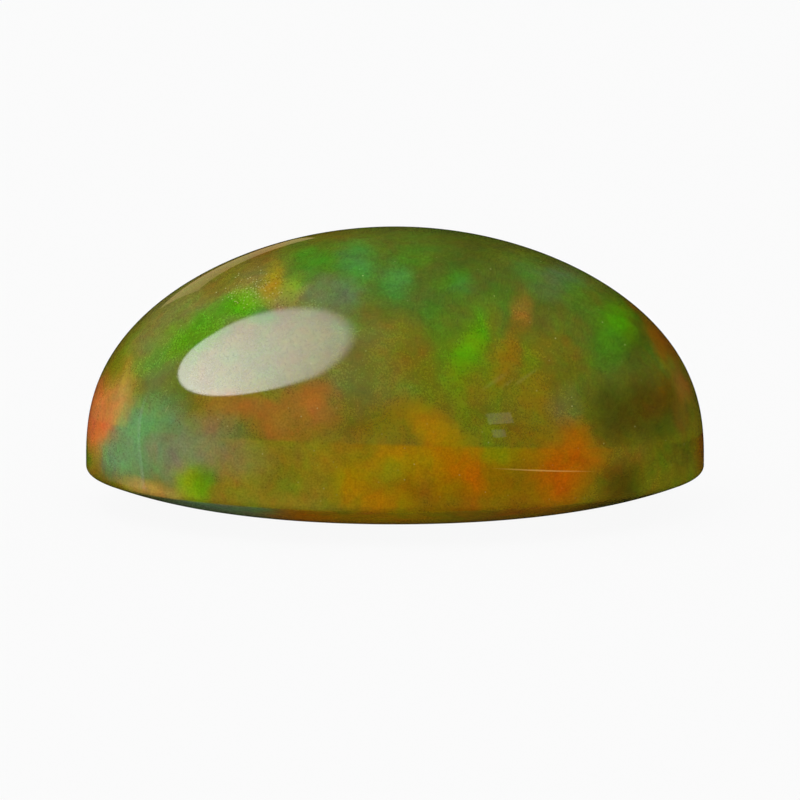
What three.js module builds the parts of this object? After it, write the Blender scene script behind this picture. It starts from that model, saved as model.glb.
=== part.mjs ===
// An opal cut and polished as an oval cabochon with a high dome.
// Millimetres, +Z up. The length runs along X and the width along Y.
// The origin is the middle of the underside, at its lowest point, where the stone rests.
// The stone is one solid piece, so it is one mesh.
import * as THREE from "three";

// The girdle is the stone's widest outline, an ellipse of these two diameters.
const LENGTH = 14;
const WIDTH = 10;

// Heights, from the surface that the stone rests on upwards.
const BASE_DEPTH = 0.81; // the underside swells this far below the girdle's lower edge
const GIRDLE_WALL = 0.22; // the narrow upright band that a bezel grips
const DOME_HEIGHT = 5.28; // from the band to the crown
const GIRDLE_Z = BASE_DEPTH + GIRDLE_WALL;

// The dome follows z = DOME_HEIGHT * (1 - q)^(1 / DOME_POWER), where q runs from 0 on the axis to 1 at the girdle.
const DOME_POWER = 2.5; // above 2, the flanks stand steeper than an ellipse's
const CROWN_BLEND = 0.2; // q = (1 + blend) r^2 / (1 + blend r^2), for r as a share of the girdle

// The underside follows z = BASE_DEPTH * r^BASE_POWER outside the flat spot in its middle.
const BASE_POWER = 3.56;
const FLAT_SPOT = 0.3; // the flat spot's size as a share of the girdle

// The lower edge of the girdle is rounded off, so that it doesn't chip.
const EDGE_IN = 0.14;
const EDGE_UP = 0.12;

// How finely the smooth surface is divided.
const AROUND = 72;
const DOME_RINGS = 22;
const BASE_RINGS = 7;
const EDGE_STEPS = 3;

const HALF_LENGTH = LENGTH / 2;

// Height of the underside at a radius given as a share of the girdle's.
const undersideHeight = (share) => BASE_DEPTH * share ** BASE_POWER;

// Adds the underside to the profile, from the axis out to where the rounded edge begins.
function addUnderside(profile, edgeShare) {
  profile.moveTo(0, 0);
  profile.lineTo(FLAT_SPOT * HALF_LENGTH, 0);
  for (let ring = 1; ring <= BASE_RINGS; ring++) {
    const share = THREE.MathUtils.lerp(FLAT_SPOT, edgeShare, ring / BASE_RINGS);
    profile.lineTo(share * HALF_LENGTH, undersideHeight(share));
  }
}

// Adds the rounded lower edge and the upright band of the girdle.
function addGirdle(profile) {
  profile.quadraticCurveTo(HALF_LENGTH, BASE_DEPTH, HALF_LENGTH, BASE_DEPTH + EDGE_UP);
  profile.lineTo(HALF_LENGTH, GIRDLE_Z);
}

// Adds the dome, from the girdle up to the crown. Even steps of the angle put more rings where the dome bends most.
function addDome(profile) {
  for (let ring = 1; ring < DOME_RINGS; ring++) {
    const angle = (ring / DOME_RINGS) * (Math.PI / 2);
    const q = Math.cos(angle) ** 2;
    const share = Math.sqrt(q / (1 + CROWN_BLEND - CROWN_BLEND * q));
    const rise = Math.sin(angle) ** (2 / DOME_POWER);
    profile.lineTo(share * HALF_LENGTH, GIRDLE_Z + DOME_HEIGHT * rise);
  }
  profile.lineTo(0, GIRDLE_Z + DOME_HEIGHT);
}

// The half section through the stone's long axis, from the middle of the underside round to the crown.
function halfSection() {
  const profile = new THREE.Path();
  addUnderside(profile, 1 - EDGE_IN / HALF_LENGTH);
  addGirdle(profile);
  addDome(profile);
  return profile.getPoints(EDGE_STEPS);
}

// The half section turned about the upright axis, then narrowed along Y, so that every level is an ellipse.
function cabochonGeometry() {
  const geometry = new THREE.LatheGeometry(halfSection(), AROUND);
  geometry.rotateX(Math.PI / 2);
  geometry.scale(1, WIDTH / LENGTH, 1);
  return geometry;
}

const polishedOpal = new THREE.MeshStandardMaterial({
  name: "polished opal",
  color: 0x6f6a1c,
  roughness: 0.05,
  metalness: 0,
});

const cabochon = new THREE.Mesh(cabochonGeometry(), polishedOpal);
cabochon.name = "opal_cabochon";

const stone = new THREE.Group();
stone.add(cabochon);

export default stone;
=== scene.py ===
# %% [markdown]
# # An opal cabochon
# A cabochon is a stone cut with a smooth dome and no facets. This one is an oval opal, clear brown
# with a little milk in it, and soft patches of green, orange, red and teal float inside.
# The imported model comes first. It is the fixed frame: it gives the stone's real size and place,
# and what is made here stands exactly where it stands.

# %% Load the imported stone
import math

import bpy
import numpy as np
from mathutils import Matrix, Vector


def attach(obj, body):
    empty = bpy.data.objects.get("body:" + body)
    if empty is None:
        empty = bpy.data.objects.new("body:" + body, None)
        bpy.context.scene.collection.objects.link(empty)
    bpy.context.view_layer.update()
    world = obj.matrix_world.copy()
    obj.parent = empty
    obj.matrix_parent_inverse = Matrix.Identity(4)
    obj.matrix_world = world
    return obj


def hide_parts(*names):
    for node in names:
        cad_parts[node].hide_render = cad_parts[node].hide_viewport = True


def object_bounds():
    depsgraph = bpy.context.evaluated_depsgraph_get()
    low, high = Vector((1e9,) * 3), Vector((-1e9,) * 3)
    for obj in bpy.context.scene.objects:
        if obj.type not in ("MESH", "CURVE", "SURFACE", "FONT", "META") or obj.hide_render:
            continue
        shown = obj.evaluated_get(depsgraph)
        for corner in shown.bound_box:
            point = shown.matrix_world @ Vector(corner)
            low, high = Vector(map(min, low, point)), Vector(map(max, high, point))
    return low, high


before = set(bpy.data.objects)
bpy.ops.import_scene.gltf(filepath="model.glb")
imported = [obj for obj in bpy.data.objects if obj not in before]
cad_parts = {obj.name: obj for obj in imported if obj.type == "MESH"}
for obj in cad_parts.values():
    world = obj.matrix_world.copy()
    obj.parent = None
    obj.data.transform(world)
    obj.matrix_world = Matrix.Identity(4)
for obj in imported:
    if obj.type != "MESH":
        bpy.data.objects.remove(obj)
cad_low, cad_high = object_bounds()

MM = 0.001
scene = bpy.context.scene
print("the packed stone reaches from", tuple(cad_low), "to", tuple(cad_high), "metres")

# %% [markdown]
# ## The camera
# The photograph looks at the long side of the stone from a little above, through a long lens that
# keeps lines nearly parallel. The camera first aims at a point near the stone's middle. Then it slides
# sideways and down without turning, until the stone stands in the frame where the photograph has it.

# %% Set up the camera
CAMERA_ELEVATION = math.radians(10.55)
CAMERA_DISTANCE = 200 * MM
FRAME_WIDTH = 18.093 * MM  # what the frame takes in, side to side, at the stone
SENSOR = 36.0  # in mm
AIM_HEIGHT = 3.31 * MM
SLIDE_RIGHT = 0.113 * MM
SLIDE_DOWN = 0.900 * MM
CLIP_NEAR = 10 * MM
CLIP_FAR = 5.0  # in metres, past the floor's far edge


def make_camera():
    """A camera on the line that rises from the aim point at the elevation, slid in its own image plane."""
    data = bpy.data.cameras.new("camera")
    data.sensor_width = SENSOR
    data.lens = SENSOR * CAMERA_DISTANCE / FRAME_WIDTH
    data.clip_start = CLIP_NEAR
    data.clip_end = CLIP_FAR
    camera = bpy.data.objects.new("camera", data)
    scene.collection.objects.link(camera)
    back = Vector((0, -math.cos(CAMERA_ELEVATION), math.sin(CAMERA_ELEVATION)))
    up = Vector((0, math.sin(CAMERA_ELEVATION), math.cos(CAMERA_ELEVATION)))
    aim = Vector((0, 0, AIM_HEIGHT))
    camera.location = aim + back * CAMERA_DISTANCE + Vector((SLIDE_RIGHT, 0, 0)) - up * SLIDE_DOWN
    camera.rotation_euler = (-back).to_track_quat("-Z", "Y").to_euler()
    scene.camera = camera
    return camera


camera = make_camera()
scene.view_settings.view_transform = "Standard"
print("camera lens", round(camera.data.lens, 1), "mm")

# %% [markdown]
# ## The shape of the stone
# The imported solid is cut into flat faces, and on a polished stone every face would show as a facet
# in the reflections. A subdivision surface would round it off, but it would also shrink it. Here the
# same curves that the solid was made from are worked out again, finely: a half section, from the
# middle of the underside out to the girdle and up to the crown, is swept round an ellipse.

# %% The half section, from the underside to the crown
HALF_LENGTH = (cad_high.x - cad_low.x) / 2
HALF_WIDTH = (cad_high.y - cad_low.y) / 2
HEIGHT = cad_high.z
BASE_DEPTH = 0.81 * MM  # how far the underside swells below the girdle's lower edge
GIRDLE_WALL = 0.22 * MM  # the narrow upright band that a bezel grips
GIRDLE_Z = BASE_DEPTH + GIRDLE_WALL
DOME_HEIGHT = HEIGHT - GIRDLE_Z
DOME_POWER = 2.5  # above 2, the flanks stand steeper than an ellipse's
CROWN_BLEND = 0.2  # rounds the crown, which that power alone would leave flatter
BASE_POWER = 3.56
FLAT_SPOT = 0.3  # the flat spot that the stone rests on, as a share of the girdle
EDGE_IN = 0.14 * MM  # the rounded lower edge
EDGE_UP = 0.12 * MM
UNDERSIDE_RINGS = 36  # how finely each stretch of the section is divided
EDGE_RINGS = 10
DOME_RINGS = 110


def underside_section(rings):
    """Height rises with the share of the way out to the girdle, raised to BASE_POWER, but for the flat spot,
    which stays at zero."""
    edge = 1 - EDGE_IN / HALF_LENGTH
    share = np.concatenate([[0.0, FLAT_SPOT / 2], np.linspace(FLAT_SPOT, edge, rings)])
    height = np.where(share > FLAT_SPOT, BASE_DEPTH * share**BASE_POWER, 0.0)
    return share, height


def edge_section(steps):
    """The rounded lower edge: a quadratic curve that leaves the underside, bends at the sharp corner and ends
    upright. With t from 0 to 1, its three points weigh (1 - t)^2, 2 (1 - t) t and t^2."""
    t = np.linspace(0, 1, steps + 1)[1:]
    start = 1 - EDGE_IN / HALF_LENGTH
    start_height = BASE_DEPTH * start**BASE_POWER
    share = (1 - t) ** 2 * start + 2 * (1 - t) * t + t**2
    height = (1 - t) ** 2 * start_height + 2 * (1 - t) * t * BASE_DEPTH + t**2 * (BASE_DEPTH + EDGE_UP)
    return share, height


def dome_section(rings):
    """With q the squared cosine of an angle from 0 to 90 degrees, the share is the root of
    q / (1 + blend - blend q), and the height above the girdle goes with the sine of that angle to the power
    2 / DOME_POWER."""
    angle = np.linspace(0, np.pi / 2, rings + 1)
    q = np.cos(angle) ** 2
    share = np.sqrt(q / (1 + CROWN_BLEND - CROWN_BLEND * q))
    share[-1] = 0.0
    return share, GIRDLE_Z + DOME_HEIGHT * np.sin(angle) ** (2 / DOME_POWER)


def half_section():
    """Shares of the girdle's radius and heights, from the middle of the underside round to the crown."""
    parts = [underside_section(UNDERSIDE_RINGS), edge_section(EDGE_RINGS), dome_section(DOME_RINGS)]
    shares, heights = zip(*parts)
    return np.concatenate(shares), np.concatenate(heights)


share, height = half_section()
print("the half section has", len(share), "points, up to", round(height.max() / MM, 2), "mm")

# %% [markdown]
# ## From the section to a closed surface
# The surface is a function of two parameters: the point on the half section, and the angle round the
# upright axis. Both ends of the section lie on the axis, so each is a single point with a fan of
# triangles, which closes the poles. All other faces are quads between two rings.

# %% Sweep the section round and fill the mesh
AROUND = 288  # points on every ring


def swept_points(share, height, around):
    """The pole, then ring after ring, then the other pole. A ring's point at angle a is
    (share * half length * cos a, share * half width * sin a, height)."""
    angle = np.linspace(0, 2 * np.pi, around, endpoint=False)
    x = np.outer(share[1:-1], np.cos(angle)) * HALF_LENGTH
    y = np.outer(share[1:-1], np.sin(angle)) * HALF_WIDTH
    z = np.repeat(height[1:-1], around).reshape(x.shape)
    rings = np.stack([x, y, z], axis=-1).reshape(-1, 3)
    return np.concatenate([[[0, 0, height[0]]], rings, [[0, 0, height[-1]]]])


def swept_faces(ring_count, around):
    """Quads between neighbouring rings and a fan at either pole, all turned to face outwards."""
    step = np.arange(around)
    ahead = (step + 1) % around
    ring = 1 + np.arange(ring_count - 1)[:, None] * around
    quads = np.stack([ring + step, ring + ahead, ring + around + ahead, ring + around + step], axis=-1)
    top = 1 + (ring_count - 1) * around
    pole = np.zeros(around, int)
    low_fan = np.stack([pole, 1 + ahead, 1 + step], axis=-1)
    high_fan = np.stack([top + step, top + ahead, pole + top + around], axis=-1)
    return quads.reshape(-1, 4).tolist() + low_fan.tolist() + high_fan.tolist()


def make_mesh_object(name, points, faces):
    """A smooth-shaded object at the origin whose mesh holds the points where they are."""
    mesh = bpy.data.meshes.new(name)
    mesh.from_pydata(points.tolist(), [], faces)
    mesh.shade_smooth()
    made = bpy.data.objects.new(name, mesh)
    scene.collection.objects.link(made)
    return made


points = swept_points(share, height, AROUND)
faces = swept_faces(len(share) - 2, AROUND)
stone = make_mesh_object("polished_stone", points, faces)
print("the stone's surface has", len(stone.data.polygons), "faces")

# %% [markdown]
# ## Helpers for the material
# Blender's materials are graphs of nodes. Three small helpers keep a graph readable. The first adds a
# node, sets it up and joins its inputs to what feeds them. The second starts an empty material. The
# third lays one colour on another, which is what most of this material does.

# %% Node helpers
def add_node(tree, kind, inputs=(), **settings):
    """Adds a node, sets its own settings by name, then the values of its inputs by name or number."""
    node = tree.nodes.new(kind)
    for setting, value in settings.items():
        setattr(node, setting, value)
    for socket, value in dict(inputs).items():
        if isinstance(value, bpy.types.NodeSocket):
            tree.links.new(value, node.inputs[socket])
        else:
            node.inputs[socket].default_value = value
    return node


def new_material(name):
    """An empty material and its graph."""
    material = bpy.data.materials.new(name)
    material.use_nodes = True
    material.node_tree.nodes.clear()
    return material, material.node_tree


def mix_colours(tree, factor, under, over, blend="MIX"):
    """The colour socket of over laid on under by the factor."""
    node = add_node(tree, "ShaderNodeMix", data_type="RGBA", blend_type=blend)
    for socket, value in ((node.inputs[0], factor), (node.inputs[6], under), (node.inputs[7], over)):
        if isinstance(value, bpy.types.NodeSocket):
            tree.links.new(value, socket)
        else:
            socket.default_value = value
    return node.outputs[2]


# %% [markdown]
# ## Where a pattern stands
# The colours of an opal come from stacks of tiny silica spheres, and every stack ends where it meets
# the next. So the patches have ragged, soft edges. The pattern reads Object coordinates, in
# millimetres, and two layers of noise push them about before any patch is placed.

# %% Stone coordinates in millimetres, pushed about by noise
# how many waves to a millimetre, how far they push, in millimetres, and how many finer waves ride on them
WARP_WIDE = (0.8, 0.28, 2.0)
WARP_FINE = (2.8, 0.08, 3.0)


def push_by_noise(tree, place, scale, reach, detail):
    """Moves the place by noise: each coordinate goes up to reach millimetres either way."""
    noise = add_node(tree, "ShaderNodeTexNoise", {"Vector": place, "Scale": scale, "Detail": detail})
    centred = add_node(
        tree, "ShaderNodeVectorMath", {0: noise.outputs["Color"], 1: (0.5, 0.5, 0.5)}, operation="SUBTRACT"
    )
    far = add_node(
        tree,
        "ShaderNodeVectorMath",
        {0: centred.outputs[0], 1: (2 * reach,) * 3, 2: place},
        operation="MULTIPLY_ADD",
    )
    return far.outputs[0]


def stone_places(tree):
    """Two places for each point of the surface: the plain one in millimetres, and the pushed one."""
    where = add_node(tree, "ShaderNodeTexCoord")
    plain = add_node(tree, "ShaderNodeMapping", {"Vector": where.outputs["Object"], "Scale": (1 / MM,) * 3})
    wide = push_by_noise(tree, plain.outputs[0], *WARP_WIDE)
    pushed = push_by_noise(tree, wide, *WARP_FINE)
    return plain.outputs[0], pushed


# %% [markdown]
# ## The palette
# An opal shows few colours at a time. They are named once here, as the colours of matte paint in
# linear values, and everything on the stone is mixed from them.

# %% The palette, and a share that rises softly
PALETTE = {
    "brown": (0.200, 0.150, 0.009),
    "olive": (0.190, 0.185, 0.007),
    # the dark brown shade below is painted shade: it is laid only on the right flank and under it, away from
    # the softbox
    "shade": (0.065, 0.052, 0.003),
    "moss": (0.070, 0.085, 0.006),
    "sage": (0.085, 0.140, 0.016),
    "fern": (0.062, 0.110, 0.003),
    "leaf": (0.085, 0.320, 0.002),
    "green": (0.065, 0.220, 0.012),
    "jade": (0.058, 0.245, 0.035),
    "teal": (0.150, 0.350, 0.115),
    "mist": (0.125, 0.205, 0.095),
    # the pale grey haze below is painted light: it is laid only on the left, where the softbox's light falls
    # into the milky stone
    "lit_haze": (0.250, 0.275, 0.130),
    "lime": (0.270, 0.420, 0.008),
    "straw": (0.310, 0.260, 0.016),
    "amber": (0.440, 0.270, 0.003),
    "ochre": (0.340, 0.165, 0.002),
    "orange": (0.600, 0.140, 0.001),
    "ember": (0.260, 0.080, 0.003),
    "red": (0.850, 0.190, 0.045),
    "rust": (0.420, 0.150, 0.024),
    "tan": (0.620, 0.370, 0.070),
    "gold": (0.900, 0.520, 0.120),
    "pale": (0.600, 0.560, 0.220),
}


def colour(name):
    """A palette colour with full opacity."""
    return (*PALETTE[name], 1.0)


def soft_share(tree, value, low, high, at_low=0.0, at_high=1.0):
    """Goes from at_low to at_high as the value goes from low to high, level at both ends."""
    node = add_node(
        tree,
        "ShaderNodeMapRange",
        {"Value": value, "From Min": low, "From Max": high, "To Min": at_low, "To Max": at_high},
        interpolation_type="SMOOTHSTEP",
    )
    return node.outputs[0]


print("the palette has", len(PALETTE), "colours")

# %% [markdown]
# ## Patches placed one by one
# On the side that the photograph shows, each patch is placed where the stone has it, first the broad
# washes and then the accents on them. The far edge of the girdle shows through the dome as a line,
# the far rim's line, which crosses the stone nearly level. Below it the colours are painted lighter and
# more yellow. This is painted light, the light seen through the stone there, laid over the stone's own
# patches.
# The underside has tones of its own too, so there are three lists, and a patch that crosses the far
# rim's line stands in two. A patch is a ball that is centred on the surface and fades outwards. It is
# measured in a space that has been stretched beforehand, so it comes out wide, tall or slanting, and
# runs on into the depth.

# %% The proportions that a patch can have
PROPORTIONS = {
    # how far it is stretched along the length and up, and how far it is turned, in degrees
    "round": (1.0, 1.0, 0),
    "wide": (1.6, 0.7, 0),
    "band": (2.6, 0.6, 0),
    "tall": (0.7, 1.6, 0),
    "streak": (0.5, 2.2, 0),
    "rising": (1.7, 0.65, -35),
    "falling": (1.7, 0.65, 40),
    "plunging": (1.8, 0.55, 60),
    "climbing": (1.6, 0.65, -68),
}
DEPTH_STRETCH = 3.0  # how far every patch is stretched into the depth


def stretched_spaces(tree, place, proportions):
    """The place as seen in each of the proportions: turned back, then divided by the stretch."""
    spaces = {}
    for name, (across, up, turn) in proportions.items():
        space = add_node(
            tree,
            "ShaderNodeMapping",
            {"Vector": place, "Rotation": (0, math.radians(turn), 0), "Scale": (across, DEPTH_STRETCH, up)},
            vector_type="TEXTURE",
        )
        spaces[name] = (space.outputs[0], (across, up, turn))
    return spaces


def stretched_point(point, across, up, turn):
    """The same for one point, worked out here: with c and s the cosine and sine of the turn, the point's
    x and z go to (c x - s z) and (s x + c z) before they are divided."""
    c, s = math.cos(math.radians(turn)), math.sin(math.radians(turn))
    x, y, z = point
    return (c * x - s * z) / across, y / DEPTH_STRETCH, (s * x + c * z) / up


# %% The patches above the far rim's line
UPPER_PATCHES = [
    # colour, place along the length and height in mm, size in mm, proportion, strength
    ("sage", 0.8, 5.7, 2.2, "wide", 0.95),
    ("olive", -5.3, 4.4, 1.6, "round", 0.8),
    ("sage", 5.0, 4.2, 1.7, "round", 0.9),
    ("sage", 2.6, 5.0, 1.1, "wide", 0.6),
    ("sage", 3.9, 5.4, 0.8, "wide", 0.8),
    ("olive", 3.0, 3.6, 1.1, "wide", 0.5),
    # painted light: the pale grey haze on the left half, where the softbox's light falls in
    ("lit_haze", -3.2, 4.6, 2.0, "wide", 0.4),
    # painted shade: the dark shade patch on the right flank, which is turned away from the softbox
    ("shade", 5.7, 2.75, 1.0, "wide", 0.8),
    ("moss", 4.9, 2.7, 0.6, "round", 0.4),
    ("moss", 6.0, 2.2, 0.6, "wide", 0.7),
    ("rust", 6.4, 2.4, 0.3, "tall", 0.2),
    ("ember", 5.8, 2.7, 0.6, "wide", 0.15),
    ("moss", 1.8, 6.05, 0.8, "wide", 0.5),
    ("moss", 3.4, 5.65, 0.5, "wide", 0.5),
    ("fern", 3.6, 5.2, 0.6, "wide", 0.3),
    ("fern", 5.4, 4.4, 1.0, "round", 0.8),
    ("mist", -0.7, 3.5, 0.8, "wide", 0.18),
    # painted light: the pale grey haze patches here lie on the left, where the softbox's light falls in
    ("lit_haze", -5.0, 1.9, 1.1, "wide", 0.8),
    ("sage", -5.0, 3.2, 0.7, "round", 0.5),
    ("lit_haze", -5.4, 3.7, 0.6, "round", 0.4),
    ("lit_haze", -4.0, 2.5, 0.6, "wide", 0.35),
    ("teal", -5.8, 2.2, 0.8, "round", 0.85),
    ("teal", -5.2, 2.6, 0.65, "round", 0.6),
    ("straw", -6.0, 3.05, 0.6, "climbing", 0.7),
    ("tan", -6.2, 2.7, 0.55, "climbing", 0.7),
    ("red", -6.8, 1.9, 0.8, "climbing", 0.95),
    ("red", -6.85, 2.3, 0.55, "tall", 0.8),
    ("tan", -6.6, 2.3, 0.5, "climbing", 0.25),
    ("rust", -3.7, 3.0, 0.55, "wide", 0.6),
    ("rust", -4.0, 2.5, 0.35, "wide", 0.3),
    ("rust", -2.7, 2.9, 0.55, "wide", 0.6),
    ("rust", -2.5, 2.5, 0.4, "wide", 0.6),
    ("moss", -3.3, 2.5, 0.4, "wide", 0.2),
    ("rust", -1.8, 3.0, 0.6, "round", 0.65),
    ("red", -1.75, 3.05, 0.3, "falling", 0.15),
    ("rust", -1.9, 3.35, 0.3, "band", 0.5),
    ("olive", -2.9, 3.3, 0.25, "band", 0.5),
    ("leaf", -5.0, 4.0, 0.6, "rising", 0.6),
    ("leaf", -4.3, 4.45, 0.6, "rising", 0.8),
    ("leaf", -3.4, 4.95, 0.45, "wide", 0.9),
    ("jade", -2.9, 4.85, 0.25, "wide", 0.5),
    ("brown", -3.9, 5.35, 0.5, "rising", 0.7),
    ("amber", -2.8, 5.45, 0.36, "tall", 0.7),
    ("ember", -2.9, 5.85, 0.35, "wide", 0.4),
    ("lime", -2.35, 5.4, 0.35, "round", 0.45),
    ("lime", -3.2, 5.15, 0.35, "wide", 0.25),
    ("green", -1.9, 5.85, 0.55, "wide", 0.9),
    ("jade", -0.9, 5.85, 0.55, "round", 0.9),
    ("teal", -0.9, 5.9, 0.3, "round", 0.1),
    ("mist", -1.3, 5.35, 0.5, "wide", 0.6),
    ("jade", 0.0, 5.6, 0.45, "round", 0.9),
    ("teal", 0.1, 5.6, 0.3, "round", 0.1),
    ("green", 0.35, 6.0, 0.35, "wide", 0.6),
    ("sage", -0.3, 5.2, 0.5, "round", 0.5),
    ("brown", 0.3, 4.4, 0.65, "round", 0.5),
    ("brown", -0.4, 4.9, 0.4, "wide", 0.3),
    ("sage", -0.8, 3.9, 0.5, "tall", 0.35),
    ("green", 0.85, 4.9, 0.45, "tall", 0.45),
    ("green", 1.35, 5.5, 0.42, "round", 0.8),
    ("jade", 1.55, 5.4, 0.3, "round", 0.4),
    ("green", 1.15, 4.1, 0.4, "streak", 0.3),
    ("leaf", 1.75, 4.45, 0.5, "climbing", 0.9),
    ("leaf", 1.6, 4.1, 0.85, "round", 0.3),
    ("lime", 1.7, 4.4, 0.3, "round", 0.3),
    ("leaf", 1.45, 3.3, 0.45, "streak", 0.2),
    ("leaf", 2.15, 2.9, 0.45, "streak", 0.2),
    ("brown", 0.95, 3.4, 0.3, "streak", 0.3),
    ("olive", 1.8, 3.3, 0.25, "streak", 0.5),
    ("olive", 2.2, 4.8, 0.36, "tall", 0.5),
    ("green", 2.35, 5.3, 0.36, "round", 0.3),
    ("rust", 2.85, 4.95, 0.33, "tall", 0.5),
    ("ember", 2.65, 4.4, 0.42, "climbing", 0.35),
    ("amber", 2.35, 3.95, 0.45, "climbing", 0.27),
    ("leaf", 2.95, 3.95, 0.33, "tall", 0.25),
    ("brown", 3.9, 4.0, 0.4, "plunging", 0.4),
    ("amber", 3.1, 3.3, 0.5, "round", 0.2),
    ("mist", 3.8, 3.0, 0.45, "round", 0.25),
    ("mist", 3.7, 5.35, 0.5, "wide", 0.4),
    ("jade", 3.0, 5.6, 0.4, "round", 0.4),
    ("green", 4.1, 5.0, 0.4, "falling", 0.5),
    ("leaf", 5.0, 4.5, 0.52, "round", 0.7),
    ("green", 4.75, 4.05, 0.5, "round", 0.6),
    ("ember", 6.0, 3.9, 0.42, "plunging", 0.8),
    ("ember", 5.55, 4.55, 0.3, "falling", 0.6),
    ("rust", 6.45, 2.85, 0.3, "plunging", 0.4),
    ("sage", 6.75, 3.1, 0.3, "plunging", 0.6),
    ("straw", -0.9, 2.35, 0.5, "band", 0.5),
    ("amber", 0.2, 2.7, 0.6, "wide", 0.2),
    ("amber", 0.6, 2.7, 0.6, "falling", 0.25),
    ("amber", 1.1, 2.35, 0.65, "falling", 0.7),
    ("orange", 1.1, 2.25, 0.5, "falling", 0.3),
    ("ochre", 3.0, 2.3, 0.45, "round", 0.35),
    ("orange", 3.85, 2.15, 0.65, "round", 0.68),
    ("moss", 4.8, 2.3, 0.45, "round", 0.4),
]

# %% The patches below the far rim's line, with painted light, and on the underside
LOWER_PATCHES = [
    # Below the far rim's line the colours are painted lighter and more yellow. This is painted light, the
    # light seen through the stone, laid over the stone's own patches.
    ("straw", -3.2, 1.4, 2.0, "wide", 0.9),
    ("ochre", 1.6, 1.4, 1.9, "wide", 0.95),
    ("amber", 0.6, 2.1, 0.85, "band", 0.7),
    # painted light: the pale grey haze on the left, where the softbox's light falls in
    ("lit_haze", -5.0, 1.9, 1.1, "wide", 0.8),
    ("teal", -5.8, 2.2, 0.8, "round", 0.85),
    ("teal", -5.9, 1.4, 0.6, "wide", 0.6),
    ("red", -6.8, 1.9, 0.8, "climbing", 0.95),
    ("red", -6.85, 2.3, 0.55, "tall", 0.6),
    ("teal", -6.35, 1.45, 0.5, "round", 0.85),
    ("leaf", -6.97, 1.3, 0.45, "round", 0.8),
    ("lit_haze", -4.9, 1.8, 0.7, "round", 0.4),
    ("lit_haze", -3.9, 1.9, 0.7, "wide", 0.3),
    ("tan", -5.4, 0.95, 0.36, "band", 0.9),
    ("lime", -4.5, 1.2, 0.5, "round", 1.0),
    ("leaf", -4.2, 1.25, 0.42, "round", 0.6),
    ("rust", -3.5, 1.8, 0.6, "round", 0.3),
    ("olive", -2.4, 1.5, 0.65, "round", 0.5),
    ("straw", -2.3, 0.9, 0.4, "band", 0.6),
    ("ochre", -2.0, 1.75, 0.5, "wide", 0.25),
    ("amber", -0.9, 1.5, 0.6, "round", 0.9),
    ("orange", -1.0, 1.3, 0.3, "tall", 0.25),
    ("amber", -0.2, 1.0, 0.45, "wide", 0.7),
    ("lime", -0.1, 1.65, 0.35, "round", 0.35),
    ("orange", -0.5, 1.1, 0.33, "falling", 0.25),
    ("brown", 0.7, 1.3, 0.3, "tall", 0.4),
    ("orange", 1.35, 1.9, 0.5, "falling", 0.6),
    ("orange", 1.75, 1.5, 0.55, "tall", 0.3),
    ("brown", 1.9, 1.0, 0.45, "band", 0.35),
    ("leaf", 2.4, 2.1, 0.4, "wide", 0.25),
    ("orange", 3.8, 1.9, 0.9, "round", 0.72),
    ("orange", 3.7, 1.2, 0.6, "round", 0.45),
    # painted shade: the dark shade patch on the right flank
    ("shade", 5.1, 1.15, 0.6, "round", 0.7),
    ("brown", 5.2, 1.9, 0.5, "round", 0.5),
    ("olive", 6.0, 1.5, 0.7, "round", 0.4),
    ("moss", 6.4, 2.0, 0.8, "round", 0.6),
    ("leaf", 6.0, 1.35, 0.4, "round", 0.2),
    ("ember", 6.95, 1.6, 0.55, "tall", 0.85),
]
UNDER_PATCHES = [
    ("olive", -1.6, 0.5, 1.6, "wide", 0.9),
    ("mist", -4.2, 0.6, 1.0, "wide", 0.9),
    ("teal", -3.8, 0.6, 0.9, "wide", 0.35),
    # painted light: the pale grey haze on the left of the underside
    ("lit_haze", -3.8, 0.5, 0.9, "wide", 0.35),
    ("orange", -1.9, 0.5, 0.6, "wide", 0.8),
    ("orange", -0.2, 0.5, 0.7, "wide", 0.5),
    ("amber", -0.9, 0.5, 0.8, "wide", 0.45),
    ("amber", 0.6, 0.5, 0.9, "wide", 0.6),
    ("orange", 3.2, 0.6, 1.0, "wide", 0.35),
    # painted shade: the dark shade patch at the underside's right end
    ("shade", 4.9, 0.6, 0.75, "wide", 0.5),
]
print(len(UPPER_PATCHES) + len(LOWER_PATCHES) + len(UNDER_PATCHES), "patches are placed by hand")

# %% How a patch is laid
PATCH_CORE = 0.2  # it is full out to this share of its size
PATCH_RIM = 1.35  # and gone at this one


def surface_point(x, z):
    """The point of the stone's near side at a length and height in mm. Its depth is that of the ellipse that
    the outline has at that height, by the dome's formula or the underside's."""
    up = max(z - GIRDLE_Z / MM, 0) / (DOME_HEIGHT / MM)
    q = 1 - min(up, 1) ** DOME_POWER
    share_squared = q / (1 + CROWN_BLEND - CROWN_BLEND * q)
    if z < BASE_DEPTH / MM:
        share_squared = (z / (BASE_DEPTH / MM)) ** (2 / BASE_POWER)
    return x, -HALF_WIDTH / MM * math.sqrt(max(share_squared - (x / (HALF_LENGTH / MM)) ** 2, 0)), z


def patch_fade(tree, spaces, x, z, size, proportion, strength):
    """How much of a patch there is: the distance from its middle takes it from full strength to none."""
    space, stretch = spaces[proportion]
    middle = stretched_point(surface_point(x, z), *stretch)
    distance = add_node(tree, "ShaderNodeVectorMath", {0: space, 1: middle}, operation="DISTANCE")
    return soft_share(tree, distance.outputs["Value"], PATCH_CORE * size, PATCH_RIM * size, strength, 0.0)


def lay_patches(tree, spaces, under, patches):
    """Patch after patch, each over the ones before."""
    for name, *patch in patches:
        under = mix_colours(tree, patch_fade(tree, spaces, *patch), under, colour(name))
    return under


# %% [markdown]
# ## The sides that the photograph doesn't show
# The far half of the stone gets patches of the same colours and about the same size, made up by
# noise. A noise texture's red, green and blue are three noises of their own, and a colour is laid where
# one of them is high. Three textures, from coarse to fine, keep the patches from looking all alike. As
# on the side that is seen, there is more green high up and more orange low down.

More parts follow.
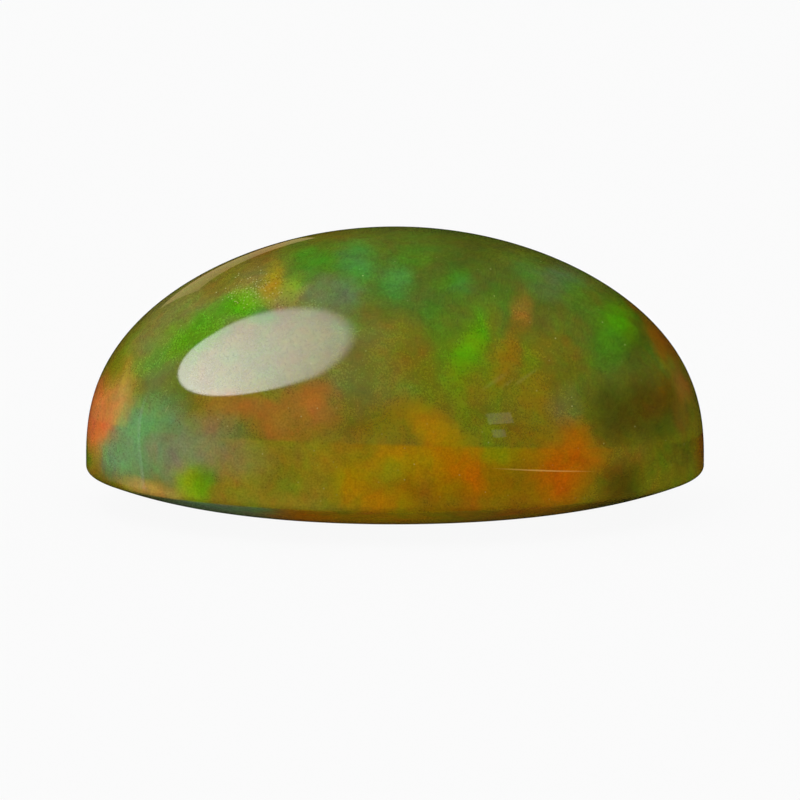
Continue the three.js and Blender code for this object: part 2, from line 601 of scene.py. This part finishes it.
# %% The body colour and the made-up patches
BODY_NOISE = (0.4, 2.0)  # waves to a millimetre, and how many finer waves ride on them
BODY_TURNS = (0.4, 0.6)  # between these two values of the noise, brown turns to olive
MADE_UP_LAYERS = [
    # waves to a millimetre, and for each of the three noises a colour, how strong it is, and how much the
    # noise rises with each millimetre upwards
    (0.30, (("sage", 0.95, 0.02), ("straw", 0.8, -0.02), ("lit_haze", 0.4, 0.0))),
    (0.42, (("green", 0.75, 0.01), ("ochre", 0.85, -0.03), ("mist", 0.5, 0.01))),
    (0.65, (("leaf", 0.65, 0.01), ("orange", 0.6, -0.035), ("jade", 0.7, 0.01))),
]
MADE_UP_STARTS = 0.50  # a colour starts where the noise passes this
MADE_UP_FULL = 0.72  # and has its full strength from here on
MADE_UP_LEVEL = 3.0  # the height in mm at which no noise is raised or lowered
MADE_UP_DETAIL = 1.0  # how many finer waves ride on those of the layers


def body_colour(tree, place):
    """Brown and olive by wide noise."""
    scale, detail = BODY_NOISE
    wide = add_node(tree, "ShaderNodeTexNoise", {"Vector": place, "Scale": scale, "Detail": detail})
    share = soft_share(tree, wide.outputs["Fac"], *BODY_TURNS)
    return mix_colours(tree, share, colour("brown"), colour("olive"))


def made_up_patches(tree, place, body):
    """The colours of the layers, laid one after another on the body. A colour's noise is raised by the height
    times its rise, and the limits between which it fades in are raised by the level times its rise."""
    axes = add_node(tree, "ShaderNodeSeparateXYZ", {0: place})
    for scale, colours in MADE_UP_LAYERS:
        waves = {"Vector": place, "Scale": scale, "Detail": MADE_UP_DETAIL}
        noise = add_node(tree, "ShaderNodeTexNoise", waves)
        values = add_node(tree, "ShaderNodeSeparateColor", {0: noise.outputs["Color"]})
        for value, (name, strength, rise) in zip(values.outputs, colours):
            lifted = add_node(
                tree, "ShaderNodeMath", {0: axes.outputs["Z"], 1: rise, 2: value}, operation="MULTIPLY_ADD"
            )
            starts, full = MADE_UP_STARTS + rise * MADE_UP_LEVEL, MADE_UP_FULL + rise * MADE_UP_LEVEL
            share = soft_share(tree, lifted.outputs[0], starts, full, at_high=strength)
            body = mix_colours(tree, share, body, colour(name))
    return body


# %% [markdown]
# ## Small marks
# There is a fine bright line low on its right. The stone isn't flawless either: a few rubbed streaks
# above the line, a short scratch on the left and specks of dust near the top. The line and the streaks
# are patches too, only very thin ones, and they are laid on the plain place, so that they stay straight.
# The dust is a Voronoi texture: every cell's middle is a speck, and only some of the cells have one.

# %% The line, the streaks and the scratch
MARK_PROPORTIONS = {
    # the same three values as for a patch's proportion
    "line": (1.0, 0.020, 6),
    "rubbed": (1.0, 0.22, -30),
    "scratch": (1.0, 0.08, -62),
}
MARKS = [
    # the same six values as for a patch
    ("gold", 3.30, 1.62, 1.0, "line", 0.55),
    ("pale", 2.05, 3.50, 0.18, "rubbed", 0.05),
    ("pale", 2.28, 3.64, 0.24, "rubbed", 0.07),
    ("pale", 2.50, 3.55, 0.18, "rubbed", 0.04),
    ("pale", 2.82, 3.60, 0.20, "rubbed", 0.07),
    ("pale", 3.02, 3.72, 0.18, "rubbed", 0.05),
    ("pale", -5.08, 2.78, 0.14, "scratch", 0.3),
]

# %% The dust
DUST_CELLS = 14.0  # to a millimetre
SPECK_CORE = 0.12  # the size of a speck, as a share of a cell
SPECK_RIM = 0.36
SPECK_STRENGTH = 0.6
DUST_SPREAD = {"wide": PROPORTIONS["wide"]}
DUST_PATCH = (-3.15, 5.25, 0.55, "wide", 0.75)  # where it lies thickest, given as a patch without a colour
DUST_RARE = 0.98  # elsewhere only cells with a random value above this have a speck
DUST_FULL = 1.01  # and from this value on, which only the thick patch can reach, it is a full one


def lay_dust(tree, plain, pattern):
    """Pale specks in the middle of some cells: the cell's random value and the thick patch together decide
    which."""
    cells = add_node(tree, "ShaderNodeTexVoronoi", {"Vector": plain, "Scale": DUST_CELLS})
    random = add_node(tree, "ShaderNodeSeparateColor", {0: cells.outputs["Color"]})
    thick = patch_fade(tree, stretched_spaces(tree, plain, DUST_SPREAD), *DUST_PATCH)
    chance = add_node(tree, "ShaderNodeMath", {0: random.outputs[0], 1: thick}, operation="ADD")
    chosen = soft_share(tree, chance.outputs[0], DUST_RARE, DUST_FULL)
    speck = soft_share(tree, cells.outputs["Distance"], SPECK_CORE, SPECK_RIM, SPECK_STRENGTH, 0.0)
    share = add_node(tree, "ShaderNodeMath", {0: chosen, 1: speck}, operation="MULTIPLY")
    return mix_colours(tree, share.outputs[0], pattern, colour("pale"))


# %% [markdown]
# ## From zones to one pattern
# The three lists are joined at the far rim's line and at the girdle's lower edge, and the made-up patches
# take over towards the back. Below the far rim's line the colours hold painted light. Then three noises are
# laid over all. Two of them, clouds and smoke, tint it softly, so that no patch has one even colour. The
# third is fine, the grain that an opal shows up close. The small marks and the dust come last, because they
# lie on the surface.

# %% The whole pattern
FAR_RIM_TOP = 2.33  # height of the far rim's line in mm at its highest point; below it, the colours hold painted light
FAR_RIM_BOW = 0.0075  # how it drops with the square of the distance along the length
FAR_RIM_MIDDLE = -2.0  # where along the length it is highest, in mm
FAR_RIM_SOFT = 0.05  # it is blended over this far to either side
EDGE_HEIGHT = 0.80  # where the underside's tones begin, in mm
EDGE_SOFT = 0.03
BACK_STARTS = 0.0  # mm towards the back from the middle of the stone
BACK_FULL = 1.6  # from here on, the made-up patches are alone
CLOUDS = (1.5, 0.36)  # waves to a millimetre, and how much each of the three channels swings
SMOKE = (4.0, 0.24)
GRAIN = (24.0, 0.78, 1.22)  # waves to a millimetre, and the brightness at their darkest and lightest
GRAIN_DEPTH = 0.4  # into the depth it has this share of those waves, or a shallow view would crowd them
PATTERN_DETAIL = 2.0  # how many finer waves ride on the waves of each of the three
NOISE_LOW = 0.25  # nearly all of a noise lies between these two values
NOISE_HIGH = 0.75


def front_pattern(tree, plain, pushed, body):
    """The three lists of patches, joined by the height and, at the far rim's line, by how far along the stone
    it is. Below that line, the lower list holds painted light.
    """
    axes = add_node(tree, "ShaderNodeSeparateXYZ", {0: plain})
    along = add_node(tree, "ShaderNodeMath", {0: axes.outputs["X"], 1: -FAR_RIM_MIDDLE}, operation="ADD")
    square = add_node(tree, "ShaderNodeMath", {0: along.outputs[0], 1: 2.0}, operation="POWER")
    level = add_node(
        tree,
        "ShaderNodeMath",
        {0: square.outputs[0], 1: FAR_RIM_BOW, 2: axes.outputs["Z"]},
        operation="MULTIPLY_ADD",
    )
    # 1 above the far rim's line and 0 below it, where the painted light of the lower list is laid
    above_far_rim = soft_share(tree, level.outputs[0], FAR_RIM_TOP - FAR_RIM_SOFT, FAR_RIM_TOP + FAR_RIM_SOFT)
    above_edge = soft_share(tree, axes.outputs["Z"], EDGE_HEIGHT - EDGE_SOFT, EDGE_HEIGHT + EDGE_SOFT)
    spaces = stretched_spaces(tree, pushed, PROPORTIONS)
    upper = lay_patches(tree, spaces, body, UPPER_PATCHES)
    lower = lay_patches(tree, spaces, body, LOWER_PATCHES)
    under = lay_patches(tree, spaces, body, UNDER_PATCHES)
    return mix_colours(tree, above_edge, under, mix_colours(tree, above_far_rim, lower, upper))


def tint_noise(tree, place, pattern, scale, swing):
    """The pattern times a coloured noise, of which each channel is 1 - swing + 2 swing noise. So it runs from
    about 1 - swing / 2 to 1 + swing / 2."""
    noise = add_node(tree, "ShaderNodeTexNoise", {"Vector": place, "Scale": scale, "Detail": PATTERN_DETAIL})
    tint = add_node(
        tree,
        "ShaderNodeVectorMath",
        {0: noise.outputs["Color"], 1: (2 * swing,) * 3, 2: (1 - swing,) * 3},
        operation="MULTIPLY_ADD",
    )
    return mix_colours(tree, 1.0, pattern, tint.outputs[0], blend="MULTIPLY")


def brightness_noise(tree, place, pattern, scale, darkest, lightest):
    """The pattern times a noise that runs between the two brightnesses."""
    noise = add_node(tree, "ShaderNodeTexNoise", {"Vector": place, "Scale": scale, "Detail": PATTERN_DETAIL})
    level = add_node(
        tree,
        "ShaderNodeMapRange",
        {
            "Value": noise.outputs["Fac"],
            "From Min": NOISE_LOW,
            "From Max": NOISE_HIGH,
            "To Min": darkest,
            "To Max": lightest,
        },
    )
    return mix_colours(tree, 1.0, pattern, level.outputs[0], blend="MULTIPLY")


def opal_pattern(tree):
    """The colour of every point of the stone."""
    plain, pushed = stone_places(tree)
    body = body_colour(tree, pushed)
    front = front_pattern(tree, plain, pushed, body)
    axes = add_node(tree, "ShaderNodeSeparateXYZ", {0: pushed})
    at_back = soft_share(tree, axes.outputs["Y"], BACK_STARTS, BACK_FULL)
    pattern = mix_colours(tree, at_back, front, made_up_patches(tree, pushed, body))
    pattern = tint_noise(tree, pushed, pattern, *CLOUDS)
    pattern = tint_noise(tree, pushed, pattern, *SMOKE)
    grain_place = add_node(tree, "ShaderNodeMapping", {"Vector": plain, "Scale": (1.0, GRAIN_DEPTH, 1.0)})
    pattern = brightness_noise(tree, grain_place.outputs[0], pattern, *GRAIN)
    pattern = lay_patches(tree, stretched_spaces(tree, plain, MARK_PROPORTIONS), pattern, MARKS)
    return lay_dust(tree, plain, pattern)


# %% [markdown]
# ## Putting the stone's material together
# The light that comes back from an opal is partly scattered near the surface, which gives the soft
# colours, and partly passes through, which gives the depth. So one Principled shader does both, with
# a plain transmission share, the opal's refractive index and brown absorption in the volume.
# Then the stone is tied to the imported model: it rides on the root body, and the imported solid is hidden,
# so that the stone stands in its place.

# %% The polished opal material
OPAL_IOR = 1.45
POLISH = 0.03  # the roughness that the polish leaves
SEE_THROUGH = 0.5  # the share of the light that passes through
ABSORPTION_COLOUR = (0.62, 0.42, 0.10, 1.0)
ABSORPTION_DENSITY = 260.0  # per metre


def polished_opal():
    """The stone's material, from body colour and patches to shine and absorption."""
    material, tree = new_material("polished_opal")
    shader = add_node(
        tree,
        "ShaderNodeBsdfPrincipled",
        {
            "Base Color": opal_pattern(tree),
            "Roughness": POLISH,
            "IOR": OPAL_IOR,
            "Transmission Weight": SEE_THROUGH,
        },
    )
    absorption = add_node(
        tree, "ShaderNodeVolumeAbsorption", {"Color": ABSORPTION_COLOUR, "Density": ABSORPTION_DENSITY}
    )
    ends = {"Surface": shader.outputs[0], "Volume": absorption.outputs[0]}
    add_node(tree, "ShaderNodeOutputMaterial", ends)
    return material


stone.data.materials.append(polished_opal())
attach(stone, "root")
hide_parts("opal_cabochon")
print("the opal's material has", len(stone.data.materials[0].node_tree.nodes), "nodes")

# %% [markdown]
# ## The floor
# A plain pale floor, which is large enough to fill the frame behind the stone. The photograph's
# background is even and its stone throws hardly a shadow, so nearly all of the floor's brightness is a
# glow of its own. The Light Path node tells who looks, so the glow can have one strength for the camera,
# one for matte surfaces and one for what is seen through the stone. The photographed polish doesn't
# mirror the ground, so reflections don't see the floor at all.

# %% Brightness that depends on who looks
def brightness_for(tree, camera, matte, others):
    """A strength that is one value to the camera, one to matte surfaces and one to reflections and
    refractions."""
    path = add_node(tree, "ShaderNodeLightPath")
    beyond = add_node(
        tree, "ShaderNodeMix", {0: path.outputs["Is Diffuse Ray"], 2: others, 3: matte}, data_type="FLOAT"
    )
    seen = add_node(
        tree,
        "ShaderNodeMix",
        {0: path.outputs["Is Camera Ray"], 2: beyond.outputs[0], 3: camera},
        data_type="FLOAT",
    )
    return seen.outputs[0]


# %% The floor
FLOOR_SIZE = 4.0  # in metres
FLOOR_PAINT = 0.015  # how much of the light that falls on it the floor throws back
FLOOR_GLOW = 0.93  # what the camera sees
FLOOR_BOUNCE = 0.85  # what the floor sends up to the stone
FLOOR_THROUGH_STONE = 0.03  # what is seen of it through the stone


def make_floor():
    """A flat square below the stone, with a glow of its own so that the shadow stays light."""
    half = FLOOR_SIZE / 2
    corners = np.array([(-half, -half, 0), (half, -half, 0), (half, half, 0), (-half, half, 0)])
    floor = make_mesh_object("floor", corners, [(0, 1, 2, 3)])
    material, tree = new_material("pale_floor")
    strength = brightness_for(tree, FLOOR_GLOW, FLOOR_BOUNCE, FLOOR_THROUGH_STONE)
    matte = add_node(tree, "ShaderNodeBsdfDiffuse", {"Color": (FLOOR_PAINT,) * 3 + (1.0,)})
    glow = add_node(tree, "ShaderNodeEmission", {"Color": (1, 1, 1, 1), "Strength": strength})
    both = add_node(tree, "ShaderNodeAddShader", {0: matte.outputs[0], 1: glow.outputs[0]})
    add_node(tree, "ShaderNodeOutputMaterial", {"Surface": both.outputs[0]})
    material.cycles.emission_sampling = "NONE"  # rays find so large and even a glow without aiming at it
    floor.data.materials.append(material)
    floor.visible_glossy = False
    return floor


floor = make_floor()
print("the floor is", FLOOR_SIZE, "metres wide")

# %% [markdown]
# ## The softbox
# The photograph's light is one large softbox up on the left, a little towards the camera. Its
# reflection is the white oval on the dome. Turned back into directions, that oval is an ellipse whose
# two ends lean away from the camera. Its lower edge is crisp, and its top and its near side are softer.
# The brightness is worked out for each point of the ellipse and kept in the mesh as an attribute, which
# the material reads. Only reflections and refractions see it. Matte surfaces get a round lamp instead,
# in the same place.

# %% The softbox that reflections see
LIGHT_TOWARDS = Vector((-0.546, -0.177, 0.819)).normalized()
LIGHT_DISTANCE = 0.5  # in metres
SOFTBOX_MIDDLE = (0.076, -0.04)  # towards the camera and up, as shares of the distance, as are its sizes
SOFTBOX_HALF = (0.470, 0.475)
SOFTBOX_LEAN = 0.13  # how far both its ends lean away from the camera, as a share of their height
SOFTBOX_MARGIN = 1.2  # the mesh is this much larger, so that the fading rim fits on it
SOFTBOX_STEPS = 81  # points along either side of its grid
RIM_CRISP = 0.03  # how soft the rim is at its lower edge, as a share of the half sizes
RIM_SOFTER = 0.07  # how much softer it gets towards the top and the near side
RIM_TURNS = (-0.5, 0.5)  # the heights between which it does so, as shares of the half size
RIM_NEAR = 0.35  # how much going towards the camera counts as going up
RIM_INWARDS = 1.3  # how far the fading reaches to either side of the ellipse, in rim softnesses
RIM_OUTWARDS = 0.7
SOFTBOX_COLOUR = (1.0, 0.99, 1.0)
SOFTBOX_STRENGTH = 7.9
SOFTBOX_FALL = 1.18  # how fast the brightness falls upwards
SOFTBOX_SIDE_FALL = 1.2  # and with the square of the distance sideways


def smooth_step(low, high, value):
    """Rises from 0 at low to 1 at high, level at both ends."""
    share = np.clip((value - low) / (high - low), 0, 1)
    return share * share * (3 - 2 * share)


def glowing_object(name, points, faces, brightness, colour):
    """A light made of a mesh, in which each point glows with its own brightness. The camera and matte
    surfaces don't see it."""
    light = make_mesh_object(name, points, faces)
    attribute = light.data.attributes.new("brightness", "FLOAT", "POINT")
    attribute.data.foreach_set("value", brightness.astype(np.float32).ravel())
    material, tree = new_material(name)
    strength = add_node(tree, "ShaderNodeAttribute", attribute_name="brightness").outputs["Fac"]
    glow = add_node(tree, "ShaderNodeEmission", {"Color": (*colour, 1.0), "Strength": strength})
    add_node(tree, "ShaderNodeOutputMaterial", {"Surface": glow.outputs[0]})
    light.data.materials.append(material)
    light.visible_camera = False
    light.visible_diffuse = False
    return light


def grid_faces(rows, columns):
    """Quads between the neighbouring points of a grid."""
    index = np.arange(rows * columns).reshape(rows, columns)
    corners = [index[:-1, :-1], index[1:, :-1], index[1:, 1:], index[:-1, 1:]]
    return np.stack(corners, axis=-1).reshape(-1, 4).tolist()


def softbox_brightness(across, up):
    """Full inside the ellipse and 0 outside it. With a and b the place across and up, counted in half sizes,
    the rim lies where the root of a^2 + b^2 is 1. Before that, a is moved by the lean times the height."""
    unit_across = (across + SOFTBOX_LEAN * np.abs(up) - SOFTBOX_MIDDLE[0]) / SOFTBOX_HALF[0]
    unit_up = (up - SOFTBOX_MIDDLE[1]) / SOFTBOX_HALF[1]
    radius = np.hypot(unit_across, unit_up)
    softness = RIM_CRISP + RIM_SOFTER * smooth_step(*RIM_TURNS, unit_up + RIM_NEAR * unit_across)
    inside = 1 - smooth_step(1 - RIM_INWARDS * softness, 1 + RIM_OUTWARDS * softness, radius)
    fall = (1 - SOFTBOX_FALL * up) * (1 - SOFTBOX_SIDE_FALL * across**2)
    return SOFTBOX_STRENGTH * inside * np.maximum(fall, 0)


def make_softbox():
    """A square grid rounded to an ellipse: a point at (a, b) in the square goes to
    (a sqrt(1 - b b / 2), b sqrt(1 - a a / 2)) times the half sizes with their margin."""
    a, b = np.meshgrid(np.linspace(-1, 1, SOFTBOX_STEPS), np.linspace(-1, 1, SOFTBOX_STEPS))
    across = SOFTBOX_MIDDLE[0] + a * np.sqrt(1 - b * b / 2) * SOFTBOX_HALF[0] * SOFTBOX_MARGIN
    up = SOFTBOX_MIDDLE[1] + b * np.sqrt(1 - a * a / 2) * SOFTBOX_HALF[1] * SOFTBOX_MARGIN
    level = Vector((0, 0, 1)).cross(LIGHT_TOWARDS).normalized()
    upwards = LIGHT_TOWARDS.cross(level)
    sideways = across[..., None] * np.array(level) + up[..., None] * np.array(upwards)
    points = (np.array(LIGHT_TOWARDS) + sideways) * LIGHT_DISTANCE
    faces = grid_faces(SOFTBOX_STEPS, SOFTBOX_STEPS)
    brightness = softbox_brightness(across, up)
    return glowing_object("softbox", points.reshape(-1, 3), faces, brightness, SOFTBOX_COLOUR)


softbox = make_softbox()
print("the softbox has", len(softbox.data.vertices), "points, each with a brightness of its own")

# %% The lamp that matte surfaces see
LAMP_POWER = 8.2  # in watts
LAMP_SIZE = 0.5  # in metres


def make_lamp():
    """A round lamp where the softbox is, turned to the stone. Neither reflections nor refractions see it."""
    data = bpy.data.lights.new("lamp", "AREA")
    data.shape = "DISK"
    data.size = LAMP_SIZE
    data.energy = LAMP_POWER
    lamp = bpy.data.objects.new("lamp", data)
    scene.collection.objects.link(lamp)
    lamp.location = LIGHT_TOWARDS * LIGHT_DISTANCE
    lamp.rotation_euler = LIGHT_TOWARDS.to_track_quat("Z", "Y").to_euler()
    lamp.visible_glossy = False
    lamp.visible_transmission = False
    return lamp


lamp = make_lamp()
print("the lamp gives", lamp.data.energy, "watts")

# %% [markdown]
# ## Weak reflections
# Small things round the stone show as faint marks on its polish: the edge of a screen on the left, a
# warm strip low down behind it, and two bars on the right. Each is a card on a ball round the stone,
# a grid of directions between four corners. Only reflections see the cards.

# %% The cards
WHITE = (1.0, 1.0, 1.0)
WARM = (1.0, 0.72, 0.36)
CREAM = (1.0, 1.0, 0.95)
CARDS = [
    # name, azimuth and elevation of the lower two corners and then of the upper two, in degrees,
    # how much of the height the top fades over, brightness on either side, colour
    ("screen_edge", ((-89.6, -13), (-87.4, -13)), ((-100.7, 24), (-98.5, 24)), 0.4, (1.0, 1.0), WHITE),
    ("screen", ((-121, -13), (-89.6, -13)), ((-132, 24), (-100.7, 24)), 0.7, (0.1, 0.45), WHITE),
    ("warm_strip", ((-176.5, 2), (-160, 12)), ((-175, 13), (-156, 25)), 0.0, (0.5, 0.5), WARM),
    ("upper_bar", ((27, 18), (35, 18)), ((27, 24), (35, 24)), 0.0, (0.95, 0.95), CREAM),
    ("lower_bar", ((27.5, 11), (31.5, 11)), ((27.5, 15), (31.5, 15)), 0.0, (0.9, 0.9), CREAM),
]
CARD_DISTANCE = 0.4  # in metres
CARD_STEPS = 17  # points along either side of a card


def make_card(name, lower, upper, fade, brightness, colour):
    """Azimuth a and elevation e run evenly between the four corners, and their direction is
    (sin a cos e, -cos a cos e, sin e). The brightness runs evenly from one side to the other."""
    across, up = np.meshgrid(np.linspace(0, 1, CARD_STEPS), np.linspace(0, 1, CARD_STEPS))
    corners = np.radians([lower, upper])
    low = corners[0, 0] + (corners[0, 1] - corners[0, 0]) * across[..., None]
    high = corners[1, 0] + (corners[1, 1] - corners[1, 0]) * across[..., None]
    a, e = np.moveaxis(low + (high - low) * up[..., None], -1, 0)
    points = np.stack([np.sin(a) * np.cos(e), -np.cos(a) * np.cos(e), np.sin(e)], axis=-1) * CARD_DISTANCE
    glow = brightness[0] + (brightness[1] - brightness[0]) * across
    if fade:
        glow = glow * (1 - smooth_step(1 - fade, 1, up))
    faces = grid_faces(CARD_STEPS, CARD_STEPS)
    card = glowing_object(name, points.reshape(-1, 3), faces, glow, colour)
    card.visible_transmission = False
    return card


for card in CARDS:
    make_card(*card)
print(len(CARDS), "cards stand round the stone")

# %% [markdown]
# ## The world
# Beyond the floor the camera sees the same pale tone. Matte surfaces get a soft light from all round.
# Reflections, and whoever looks through the stone, find the world dark.

# %% The world
PALE = 0.955  # what the camera sees beyond the floor
AMBIENT = 1.7  # what lights matte surfaces from all round
DARK = 0.004  # what reflections and refractions see


def make_world():
    """A plain world that is pale to the camera, a light for matte surfaces and dark to reflections."""
    world = bpy.data.worlds.new("studio")
    world.use_nodes = True
    tree = world.node_tree
    tree.nodes.clear()
    strength = brightness_for(tree, PALE, AMBIENT, DARK)
    sky = add_node(tree, "ShaderNodeBackground", {"Color": (1, 1, 1, 1), "Strength": strength})
    add_node(tree, "ShaderNodeOutputWorld", {"Surface": sky.outputs[0]})
    world.cycles.sampling_method = "NONE"  # as for the floor
    scene.world = world


make_world()
print("the world's brightness is", PALE, "to the camera and", AMBIENT, "to matte surfaces")
